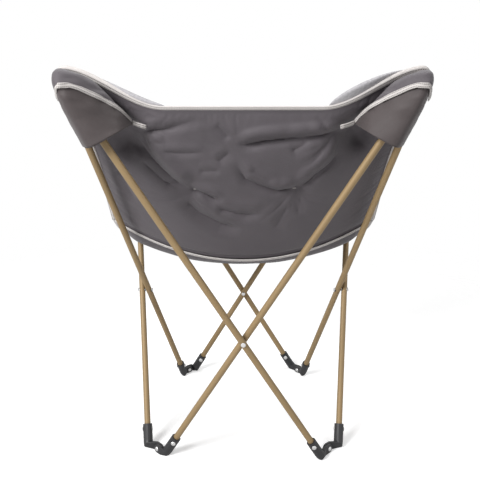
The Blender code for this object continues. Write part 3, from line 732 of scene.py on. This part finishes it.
def padded_form(bm, half_at):
    """Backs a cloth grid with a smoother face at the padding's depth, of finish 1, and bridges the rim."""
    lining = bm.copy()
    inner = [vert for vert in lining.verts if not vert.is_boundary]
    for _ in range(SMOOTHING_PASSES):
        bmesh.ops.smooth_vert(
            lining, verts=inner, factor=0.5, use_axis_x=True, use_axis_y=True, use_axis_z=True
        )
    lining.normal_update()
    for grid, side in ((bm, 1), (lining, -1)):
        shifts = [vert.normal * half_at(vert.co) * side for vert in grid.verts]
        for vert, shift in zip(grid.verts, shifts):
            vert.co += shift
    for outer, behind in zip(bm.verts, lining.verts):
        depth = (outer.co - behind.co).dot(outer.normal)
        behind.co -= outer.normal * max(0.0, PAD_LEAST - depth)
    bmesh.ops.reverse_faces(lining, faces=lining.faces)
    for face in lining.faces:
        face.material_index = 1
    spare = bpy.data.meshes.new("spare")
    lining.to_mesh(spare)
    lining.free()
    bm.from_mesh(spare)
    bpy.data.meshes.remove(spare)
    rim = [edge for edge in bm.edges if edge.is_boundary]
    bmesh.ops.bridge_loops(bm, edges=rim)
    bmesh.ops.recalc_face_normals(bm, faces=bm.faces)


def even(share):
    return 1.0


def tape_form(stations, width, thickness, swell=even, rings=14):
    """A flat rounded tape along stations of (point, direction across, direction of thickness); swell(share)
    widens it along its run."""
    bm = bmesh.new()
    last = len(stations) - 1
    bmesh.ops.create_grid(bm, x_segments=last, y_segments=rings, size=1.0)
    flat = bm.loops.layers.uv.new("cloth")
    run = [0.0]
    for k in range(last):
        run.append(run[-1] + (stations[k + 1][0] - stations[k][0]).length)
    corner = {}
    for vert in bm.verts:
        k = round((vert.co.x + 1) / 2 * last)
        angle = (vert.co.y + 1) * math.pi
        wide = math.copysign(abs(math.cos(angle)) ** TAPE_ROUNDNESS, math.cos(angle)) * width / 2
        thick = math.copysign(abs(math.sin(angle)) ** TAPE_ROUNDNESS, math.sin(angle)) * thickness / 2
        point, across, up = stations[k]
        corner[vert] = (run[k], wide)
        vert.co = point + (across * wide + up * thick) * swell(k / last)
    for face in bm.faces:
        for loop in face.loops:
            loop[flat].uv = corner[loop.vert]
    bmesh.ops.remove_doubles(bm, verts=bm.verts, dist=1e-6)
    bmesh.ops.holes_fill(bm, edges=[edge for edge in bm.edges if edge.is_boundary], sides=0)
    bmesh.ops.recalc_face_normals(bm, faces=bm.faces)
    return bm


def frames_along(points, facings):
    """Stations for a tape: each point with its direction across and its facing squared to the path."""
    made = []
    for k, (point, facing) in enumerate(zip(points, facings)):
        ahead = (points[min(k + 1, len(points) - 1)] - points[max(k - 1, 0)]).normalized()
        up = (facing - ahead * facing.dot(ahead)).normalized()
        made.append((point, ahead.cross(up).normalized(), up))
    return made


def hang(piece, body, anchor_x):
    """Lets a piece of the cover move with a body, on a mesh of its own."""
    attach(piece, body)
    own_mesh(piece)


def pad_half(place, thickness, tacks):
    """Half the padding's thickness at a point, thinner by the rim and at the tacks."""
    edge_x, near_x, far_x = place(1, 0.5).x, place(1, 0).x, place(1, 1).x

    def half_at(point):
        near = place(max(-1, min(1, point.x / near_x)), 0)
        far = place(max(-1, min(1, point.x / far_x)), 1)
        inside = min(edge_x - abs(point.x), (near - point).length, (far - point).length)
        share = PAD_EDGE_SHARE + (1 - PAD_EDGE_SHARE) * smooth((inside - BOUND_DEPTH) / PAD_RAMP)
        for tack in tacks:
            away = (Vector((point.x, point.z)) - tack).length
            share -= TACK_PINCH * math.exp(-((away / TACK_PINCH_SPREAD) ** 2))
        return thickness / 2 * max(share, PAD_LEAST_SHARE)

    return half_at


def edge_path(count_side, count_far):
    """The sheet's bound edge: up one side, along the far edge and down the other, as (across, along)."""
    left = [(-1, k / count_side) for k in range(count_side)]
    far = [(-1 + 2 * k / count_far, 1) for k in range(count_far)]
    right = [(1, 1 - k / count_side) for k in range(count_side + 1)]
    return left + far + right


def wing_swell(share):
    """The binding is widest at the wings' tips and narrows along the far edge's middle."""
    wing = smooth((abs(share - 0.5) - WING_TAPE_START) / WING_TAPE_RUN)
    return MIDDLE_TAPE_SHARE + (WING_TAPE_SHARE - MIDDLE_TAPE_SHARE) * wing


def edge_tape(name, place, facing_sign, cover):
    """The tape that wraps a pad's edge."""
    points, facings = [], []
    for across, along in edge_path(SIDE_STATIONS, FAR_STATIONS):
        point = place(across, along)
        if points and (point - points[-1]).length < SAME_PLACE:
            continue
        points.append(point)
        normal = surface_normal(place, across * EDGE_INSIDE, min(along, EDGE_INSIDE))
        facings.append(normal * facing_sign)
    inset = cover.tape_width * TAPE_INSET_SHARE
    stations = []
    middle = place(0, 0.5)
    for point, across, up in frames_along(points, facings):
        inward = turned_to(across, middle - point)
        stations.append((point + inward * inset, inward, up))
    thickness = cover.pad_thickness * PAD_EDGE_SHARE + 2 * cover.tape_cloth + TAPE_PLAY
    bm = tape_form(stations, cover.tape_width, thickness, wing_swell)
    return link_object(name, bm, [finish_of("edge_tape")])


# Operators

class CHAIR_OT_finishes(bpy.types.Operator):
    """Make the finishes and put them on the tubes, feet, caps, rivets and washers"""

    bl_idname = "chair.finishes"
    bl_label = "Frame finishes"

    def execute(self, context):
        cover, metal = context.scene.chair_cover, context.scene.chair_frame
        plain = {"thread_mm": 1.3, "sheen": 0.10, "roughness": 0.62, "mottle": 0.10}
        soft = {"thread_mm": 1.6, "sheen": 0.15, "roughness": 0.80, "mottle": 0.34}
        woven_cloth("outer_polyester", cover.outer, **plain)
        # The pocket cloth: browner than the outer cloth, and darker by painted shade
        woven_cloth("pocket_polyester_painted_shade", cover.pocket, **plain)
        woven_cloth("mottled_lining", cover.lining, **soft)
        sewn_tape("edge_tape", cover.tape, cover.thread, row_offset_mm=2.6, stitch_mm=3.2)
        by_slot = {
            "paint": satin_paint("bronze_powder_coat", metal.paint),
            "plastic": moulded_plastic("moulded_polypropylene", metal.plastic),
            "steel": zinc_plate("zinc_plated_steel", metal.steel),
        }
        for part in frame["record"]["subparts"]:
            finish = by_slot.get(part["material_slot"])
            if finish:
                node = frame["nodes"][part["node"]]
                node.data.materials.clear()
                node.data.materials.append(finish)
        return {"FINISHED"}


def tack_point(tack):
    """Where a tack holds the back's outer cloth."""
    across = tack.x / BACK_TIP.x
    low, high = 0.0, 1.0
    for _ in range(HALVINGS):
        up = (low + high) / 2
        low, high = (up, high) if back_skin(across, up).z < tack.y else (low, up)
    return back_skin(across, up)


class CHAIR_OT_back(bpy.types.Operator):
    """Make the padded back with its tacks and folds"""

    bl_idname = "chair.back"
    bl_label = "Padded back"

    def execute(self, context):
        cover = context.scene.chair_cover
        height = (BACK_TOP_MIDDLE - CREASE_MIDDLE).length
        bm = cloth_grid(back_skin, *BACK_GRID, 2 * BACK_TIP.x, height)
        sewn = [(tack_point(tack), TACK_HOLD) for tack in (LEFT_TACK, RIGHT_TACK)]
        across, up, _ = TAIL_STATIONS[1]
        sewn += [(back_skin(across * side, up), TAIL_HOLD) for side in (-1, 1)]
        settle(bm, growth=0.020, weight=0.2, sewn=sewn)
        padded_form(bm, pad_half(back_point, cover.pad_thickness, (LEFT_TACK, RIGHT_TACK)))
        back = link_object("back_pad", bm, [finish_of("outer_polyester"), finish_of("mottled_lining")])
        hang(back, "crease", 0)
        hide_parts("cover_back")
        return {"FINISHED"}


def roll_swell(share):
    """Puffs a roll up a third of the way along and lets it run out at both ends."""
    return max(ROLL_LEAST, math.sin(math.pi * share**ROLL_LEAN))


class CHAIR_OT_rolls(bpy.types.Operator):
    """Make the lining that puffs up over the edge of each wing"""

    bl_idname = "chair.rolls"
    bl_label = "Wing lining"

    def execute(self, context):
        for name, side, start, end, rise in WING_ROLLS:
            stations = []
            for k in range(ROLL_STATIONS + 1):
                share = k / ROLL_STATIONS
                across = side * (start + (end - start) * share)
                edge = back_point(across, ROLL_EDGE)
                up = (edge - back_point(across, ROLL_BELOW)).normalized()
                forward = turned_to(surface_normal(back_point, across, ROLL_FACING), FORWARD)
                lift = ROLL_LIFT_SHARE * rise * roll_swell(share)
                stations.append((edge + forward * ROLL_THICKNESS / 2 + up * lift, up, forward))
            bm = tape_form(stations, ROLL_WIDTH_SHARE * rise, ROLL_THICKNESS, roll_swell, rings=20)
            roll = link_object(f"wing_lining_{name}", bm, [finish_of("mottled_lining")])
            hang(roll, "crease", 0)
        return {"FINISHED"}


class CHAIR_OT_tacks(bpy.types.Operator):
    """Make the two bar tacks that sew the back's cloth through its padding"""

    bl_idname = "chair.tacks"
    bl_label = "Bar tacks"

    def execute(self, context):
        cover = context.scene.chair_cover
        half_at = pad_half(back_point, cover.pad_thickness, (LEFT_TACK, RIGHT_TACK))
        for name, tack in (("left", LEFT_TACK), ("right", RIGHT_TACK)):
            middle = tack_point(tack)
            facing = turned_to(surface_normal(back_point, tack.x / BACK_TIP.x, 0.5), -FORWARD)
            middle += facing * (half_at(middle) + TACK_STITCH_WIDTH / 4)
            points = []
            for k in range(TACK_STITCH_SPANS + 1):
                aside = TACK_STITCH_LENGTH * (k / TACK_STITCH_SPANS - 0.5)
                points.append(middle + Vector((aside, 0, 0)))
            stations = frames_along(points, [facing] * len(points))
            bm = tape_form(stations, TACK_STITCH_WIDTH, TACK_STITCH_WIDTH)
            stitch = link_object(f"bar_tack_{name}", bm, [finish_of("edge_tape")])
            hang(stitch, "crease", 0)
        return {"FINISHED"}


class CHAIR_OT_seat(bpy.types.Operator):
    """Make the padded seat"""

    bl_idname = "chair.seat"
    bl_label = "Padded seat"

    def execute(self, context):
        cover = context.scene.chair_cover
        depth = (SEAT_FRONT_MIDDLE - CREASE_MIDDLE).length
        bm = cloth_grid(seat_skin, *SEAT_GRID, 2 * SEAT_TIP.x, depth)
        settle(bm, growth=0.012, weight=0.3, sewn=[])
        padded_form(bm, pad_half(seat_point, cover.pad_thickness, ()))
        seat = link_object("seat_pad", bm, [finish_of("mottled_lining"), finish_of("outer_polyester")])
        hang(seat, "cover_seat", 0)
        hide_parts("cover_seat")
        return {"FINISHED"}


def mirrored(point):
    return Vector((-point.x, point.y, point.z))


def off_cover(place, across, along, outward):
    """A point on the cover's outer face, clear of it by the pocket's half wall."""
    normal = turned_to(surface_normal(place, across, along), outward)
    return place(across, along) + normal * (POCKET_CLEAR + POCKET_WALL / 2 + SEWN_GAP)


def rear_pocket_lines():
    """Rim, crown, trim and hem of the left rear pocket, from the side edge round the tip to its tail."""
    back = Vector((0, -1, 0.2))
    side, rear = REAR_SIDE_TUBE_END, REAR_TUBE_END
    stations = ((-0.965, 0.66), (-0.965, 0.962), (-0.89, 0.966), (-0.82, 0.966), (-0.76, 0.966))
    rim = [off_cover(back_point, across, up, back) for across, up in stations]
    crown = [side + Vector((0.0084, 0.0799, -0.1061)), side + Vector((-0.0090, 0.0, 0.0040))]
    crown += [rear + Vector((0.0240, 0.0050, 0.0133)), rear + Vector((0.0520, 0.0440, -0.0050))]
    crown.append(off_cover(back_point, -0.735, 0.915, back))
    trim = [side + Vector((0.0089, 0.0599, -0.1061)), rear + Vector((-0.0060, -0.0120, -0.0187))]
    trim += [rear + Vector((0.0257, -0.0190, -0.0097)), rear + Vector((0.0870, 0.0360, -0.0465))]
    trim.append(off_cover(back_point, -0.632, 0.853, back))
    hem = [side + Vector((0.0204, 0.0559, -0.1250)), rear + Vector((0.0303, 0.0180, -0.1210))]
    hem += [rear + Vector((0.0547, -0.0140, -0.1177)), rear + Vector((0.0977, 0.0060, -0.0940))]
    hem.append(off_cover(back_point, -0.632, 0.838, back))
    return [rim, crown, trim, hem]


def front_pocket_lines():
    """Rim, trim and hem of the left front pocket, from the side edge round the tip to the front edge."""
    under = Vector((-0.3, 0.3, -0.9))
    down = Vector((0, 0, -1))
    rim, trim, hem = [], [], []
    for (across, along), out, drop in FRONT_POCKET:
        point = off_cover(seat_point, across, along, under)
        rim.append(point)
        trim.append(point + out * FRONT_TRIM_OUT + down * FRONT_TRIM_DEPTH * drop)
        hem.append(point + out * FRONT_HEM_OUT + down * FRONT_HEM_DEPTH * drop)
    return [rim, trim, hem]


def pocket_place(lines, side, outward, crinkle):
    """A pocket's surface: across runs along its lines and along runs from rim to its turned hem."""

    def place(across, along):
        column = [spline(line, (across + 1) / 2) for line in lines]
        point = spline(column, along)
        slack = math.sin(math.pi * along) * (1 - abs(across) ** 4)
        turned = smooth((along - 1 + HEM_DEPTH) / HEM_TURN)
        pitched = Vector((point.x * CRINKLE_PITCH, point.y * CRINKLE_PITCH, point.z * CRINKLE_PITCH_UP))
        puff = crinkle * abs(noise.noise(pitched))
        point = point + outward * (slack * (rumple(point, *POCKET_RUMPLE) + puff) + turned * HEM_RISE)
        return point if side < 0 else mirrored(point)

    return place


def pocket_facts(end, side):
    """Surface, trim row, corner and middle direction outward of one pocket."""
    if end == "rear":
        outward = Vector((0, -1, 0.3))
        place = pocket_place(rear_pocket_lines(), side, outward, REAR_CRINKLE)
        return place, 2 / 3, REAR_CORNER_X * side, outward
    outward = Vector((-0.4, 1, 0))
    place = pocket_place(front_pocket_lines(), side, outward, FRONT_CRINKLE)
    return place, 1 / 2, FRONT_CORNER_X * side, outward if side < 0 else mirrored(outward)


def tape_tail(side):
    """Points and facings of the loose end where a rear pocket's tape runs out on the back."""
    points, facings = [], []
    for across, up, lift in TAIL_STATIONS:
        facing = turned_to(surface_normal(back_point, across, up), -FORWARD)
        points.append(off_cover(back_point, across, up, facing) + facing * lift)
        facings.append(facing)
    if side < 0:
        return points, facings
    return [mirrored(point) for point in points], [mirrored(facing) for facing in facings]


class CHAIR_OT_pockets(bpy.types.Operator):
    """Make the four corner pockets that hold the tube ends"""

    bl_idname = "chair.pockets"
    bl_label = "Corner pockets"

    def execute(self, context):
        for end, side, name in POCKETS:
            place, row, anchor, _ = pocket_facts(end, side)
            bm = cloth_grid(place, *POCKET_GRID, *POCKET_MAP)
            area = sum(face.calc_area() for face in bm.faces)
            flat = bm.loops.layers.uv.active
            for face in bm.faces:
                face.material_index = int(face.loops[0][flat].uv.y < row * POCKET_MAP[1])
            bmesh.ops.solidify(bm, geom=bm.faces[:], thickness=POCKET_WALL)
            bmesh.ops.recalc_face_normals(bm, faces=bm.faces)
            # From the trim row to the hem a pocket takes the pocket cloth, darker by painted shade
            cloths = [finish_of("pocket_polyester_painted_shade"), finish_of("outer_polyester")]
            pocket = link_object(f"pocket_{end}_{name}_cloth", bm, cloths)
            hang(pocket, f"pocket_{end}_{name}", anchor)
            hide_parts(f"pocket_{end}_{name}")
        return {"FINISHED"}


class CHAIR_OT_tapes(bpy.types.Operator):
    """Make the pale tapes that bind the cover's edges and the pockets"""

    bl_idname = "chair.tapes"
    bl_label = "Edge tapes"

    def execute(self, context):
        cover = context.scene.chair_cover
        hang(edge_tape("back_edge_tape", back_point, 1, cover), "crease", 0)
        hang(edge_tape("seat_edge_tape", seat_point, -1, cover), "cover_seat", 0)
        for end, side, name in POCKETS:
            place, row, anchor, outward = pocket_facts(end, side)
            start = REAR_TRIM_START if end == "rear" else -TRIM_END
            points, facings = [], []
            for k in range(TRIM_SPANS + 1):
                across = start + (TRIM_END - start) * k / TRIM_SPANS
                normal = turned_to(surface_normal(place, across, row + TRIM_FACING), outward)
                points.append(place(across, row) + normal * (POCKET_WALL / 2 + TRIM_LIFT))
                facings.append(normal)
            if end == "rear":
                more_points, more_facings = tape_tail(side)
                points += more_points
                facings += more_facings
            width = cover.tape_width * TRIM_WIDTH_SHARE
            bm = tape_form(frames_along(points, facings), width, TRIM_THICKNESS)
            tape = link_object(f"pocket_{end}_{name}_tape", bm, [finish_of("edge_tape")])
            hang(tape, f"pocket_{end}_{name}", anchor)
        return {"FINISHED"}


class CHAIR_OT_crease(bpy.types.Operator):
    """Make the bound seam where back and seat meet"""

    bl_idname = "chair.crease"
    bl_label = "Crease seam"

    def execute(self, context):
        points, facings = [], []
        for k in range(CREASE_SPANS + 1):
            across = -CREASE_REACH + 2 * CREASE_REACH * k / CREASE_SPANS
            crease = back_point(across, 0)
            up = (back_point(across, CREASE_STEP) - crease).normalized()
            out = (seat_point(across, CREASE_STEP) - crease).normalized()
            inward = (up + out).normalized()
            points.append(crease - inward * CREASE_TAPE_OUT)
            facings.append(-inward)
        bm = tape_form(frames_along(points, facings), CREASE_TAPE_WIDTH, CREASE_TAPE_THICKNESS)
        seam = link_object("crease_tape", bm, [finish_of("edge_tape")])
        hang(seam, "crease", 0)
        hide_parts("crease_seam")
        return {"FINISHED"}


class CHAIR_OT_stage(bpy.types.Operator):
    """Make the floor, the light and the camera"""

    bl_idname = "chair.stage"
    bl_label = "Stage"

    def execute(self, context):
        stage = context.scene.chair_stage
        bm = bmesh.new()
        bmesh.ops.create_grid(bm, x_segments=2, y_segments=2, size=stage.floor_reach / 2)
        made, tree, shader = new_material("studio_floor")
        seen = add_node(tree, "ShaderNodeLightPath")
        gain = {"operation": "MULTIPLY", 1: FLOOR_GLOW}
        glow = add_node(tree, "ShaderNodeMath", gain, {0: (seen, "Is Camera Ray")})
        pale = {"Base Color": rgba(stage.floor), "Roughness": 0.9, "Emission Color": (1, 1, 1, 1)}
        wire(tree, shader, pale, {"Emission Strength": (glow, 0)})
        place = add_node(tree, "ShaderNodeTexCoord")
        away = add_node(tree, "ShaderNodeVectorMath", {"operation": "LENGTH"}, {0: (place, "Object")})
        span = {
            "interpolation_type": "SMOOTHSTEP",
            "From Min": FLOOR_FADE_START,
            "From Max": stage.floor_reach / 2,
        }
        fade = add_node(tree, "ShaderNodeMapRange", span, {"Value": (away, "Value")})
        clear = add_node(tree, "ShaderNodeBsdfTransparent")
        faded = {0: (fade, 0), 1: (shader, "BSDF"), 2: (clear, "BSDF")}
        mixed = add_node(tree, "ShaderNodeMixShader", {}, faded)
        wire(tree, tree.nodes["Material Output"], {}, {"Surface": (mixed, 0)})
        floor = link_object("studio_floor", bm, [made])

        scene = context.scene
        world = bpy.data.worlds.new("studio")
        scene.world = world
        world.use_nodes = True
        tree = world.node_tree
        tree.nodes.clear()
        seen = add_node(tree, "ShaderNodeLightPath")
        most = {"operation": "MAXIMUM"}
        rays = {0: (seen, "Is Camera Ray"), 1: (seen, "Is Glossy Ray")}
        either = add_node(tree, "ShaderNodeMath", most, rays)
        rays = {0: (either, 0), 1: (seen, "Is Transmission Ray")}
        any_ray = add_node(tree, "ShaderNodeMath", most, rays)
        light = {"To Min": SURROUND_LIGHT, "To Max": 1.0}
        strength = add_node(tree, "ShaderNodeMapRange", light, {"Value": (any_ray, 0)})
        sky = add_node(tree, "ShaderNodeBackground", {"Color": (1, 1, 1, 1)}, {"Strength": (strength, 0)})
        add_node(tree, "ShaderNodeOutputWorld", {}, {"Surface": (sky, "Background")})

        lamps = (
            ("key_lamp", Vector((-1.6, -1.9, 2.0)), 1.0, stage.key_power),
            ("fill_lamp", Vector((1.8, -1.5, 1.6)), 1.6, stage.fill_power / 2),
            ("top_lamp", Vector((0.2, 0.4, 2.8)), 1.8, stage.fill_power * 2),
        )
        for name, place, reach, watts in lamps:
            lamp = bpy.data.lights.new(name, "AREA")
            lamp.size = reach
            lamp.energy = watts
            made = bpy.data.objects.new(name, lamp)
            made.location = place
            made.rotation_euler = (LAMP_TARGET - place).to_track_quat("-Z", "Y").to_euler()
            scene.collection.objects.link(made)

        lens = bpy.data.cameras.new("photo_camera")
        lens.sensor_width = CAMERA_SENSOR
        lens.lens = CAMERA_LENS
        lens.shift_x = (IMAGE_SIZE / 2 - IMAGE_CENTRE_COLUMN) / IMAGE_SIZE
        camera = bpy.data.objects.new("photo_camera", lens)
        camera.location = CAMERA_PLACE
        camera.rotation_euler = (math.pi / 2 - CAMERA_DOWN, 0, 0)
        scene.collection.objects.link(camera)
        scene.camera = camera
        scene.view_settings.view_transform = "Standard"
        return {"FINISHED"}


class CHAIR_PT_panel(bpy.types.Panel):
    """Steps of the chair in order"""

    bl_idname = "CHAIR_PT_panel"
    bl_label = "Butterfly chair"
    bl_space_type = "VIEW_3D"
    bl_region_type = "UI"
    bl_category = "Chair"

    def draw(self, context):
        layout = self.layout
        for operator in OPERATORS:
            layout.operator(operator.bl_idname)
        for group in (context.scene.chair_cover, context.scene.chair_frame, context.scene.chair_stage):
            for name in group.__annotations__:
                layout.prop(group, name)


OPERATORS = (
    CHAIR_OT_stage,
    CHAIR_OT_finishes,
    CHAIR_OT_back,
    CHAIR_OT_rolls,
    CHAIR_OT_tacks,
    CHAIR_OT_seat,
    CHAIR_OT_pockets,
    CHAIR_OT_tapes,
    CHAIR_OT_crease,
)
SETTINGS = (CoverSettings, FrameSettings, StageSettings)


def register():
    for kind in SETTINGS + OPERATORS + (CHAIR_PT_panel,):
        bpy.utils.register_class(kind)
    bpy.types.Scene.chair_cover = PointerProperty(type=CoverSettings)
    bpy.types.Scene.chair_frame = PointerProperty(type=FrameSettings)
    bpy.types.Scene.chair_stage = PointerProperty(type=StageSettings)


def unregister():
    del bpy.types.Scene.chair_stage
    del bpy.types.Scene.chair_frame
    del bpy.types.Scene.chair_cover
    for kind in reversed(SETTINGS + OPERATORS + (CHAIR_PT_panel,)):
        bpy.utils.unregister_class(kind)


def main():
    register()
    bpy.ops.chair.stage()
    bpy.ops.chair.finishes()
    bpy.ops.chair.back()
    bpy.ops.chair.rolls()
    bpy.ops.chair.tacks()
    bpy.ops.chair.seat()
    bpy.ops.chair.pockets()
    bpy.ops.chair.tapes()
    bpy.ops.chair.crease()


if __name__ == "__main__":
    main()
